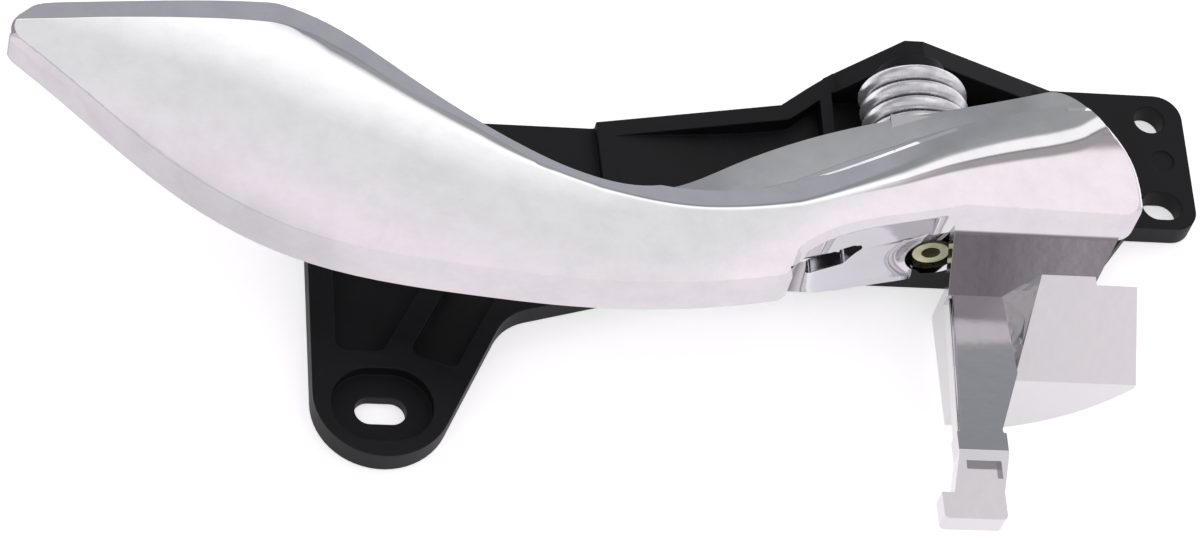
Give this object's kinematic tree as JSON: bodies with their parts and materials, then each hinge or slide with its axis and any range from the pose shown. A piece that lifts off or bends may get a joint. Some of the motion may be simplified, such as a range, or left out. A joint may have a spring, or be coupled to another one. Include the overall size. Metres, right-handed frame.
{
  "type": "car interior door handle",
  "caption": "Pivoting interior door handle: chrome-plated grip lever with actuating arm and counterweight, hinged on a black moulded bracket by a pin and a torsion return spring.",
  "frame": {"origin": "on the bracket's mounting face, straight behind the hinge pin", "axes": "+X along the handle from the grip to the hinge end, +Y along the hinge pin, +Z out of the door toward the hand"},
  "size_m": [0.1922, 0.0912, 0.0284],
  "materials": {
    "black_nylon": "fine matte",
    "chrome_plate": "polished",
    "yellow_zinc_steel": "satin",
    "zinc_spring_steel": "satin"
  },
  "bodies": {
    "base": {"base_bracket": "black_nylon", "pivot_pin": "yellow_zinc_steel", "return_spring": "zinc_spring_steel"},
    "lever": {"handle_lever": "chrome_plate"}
  },
  "joints": [
    {"name": "lever_hinge", "type": "hinge", "parent": "base", "child": "lever", "pos_m": [0, 0, 0.012], "axis": [0, 1, 0], "range_deg": [0, 25], "stiffness_Nm_per_rad": 2.4, "springref_deg": -17.19, "deforming": ["return_spring"]}
  ]
}
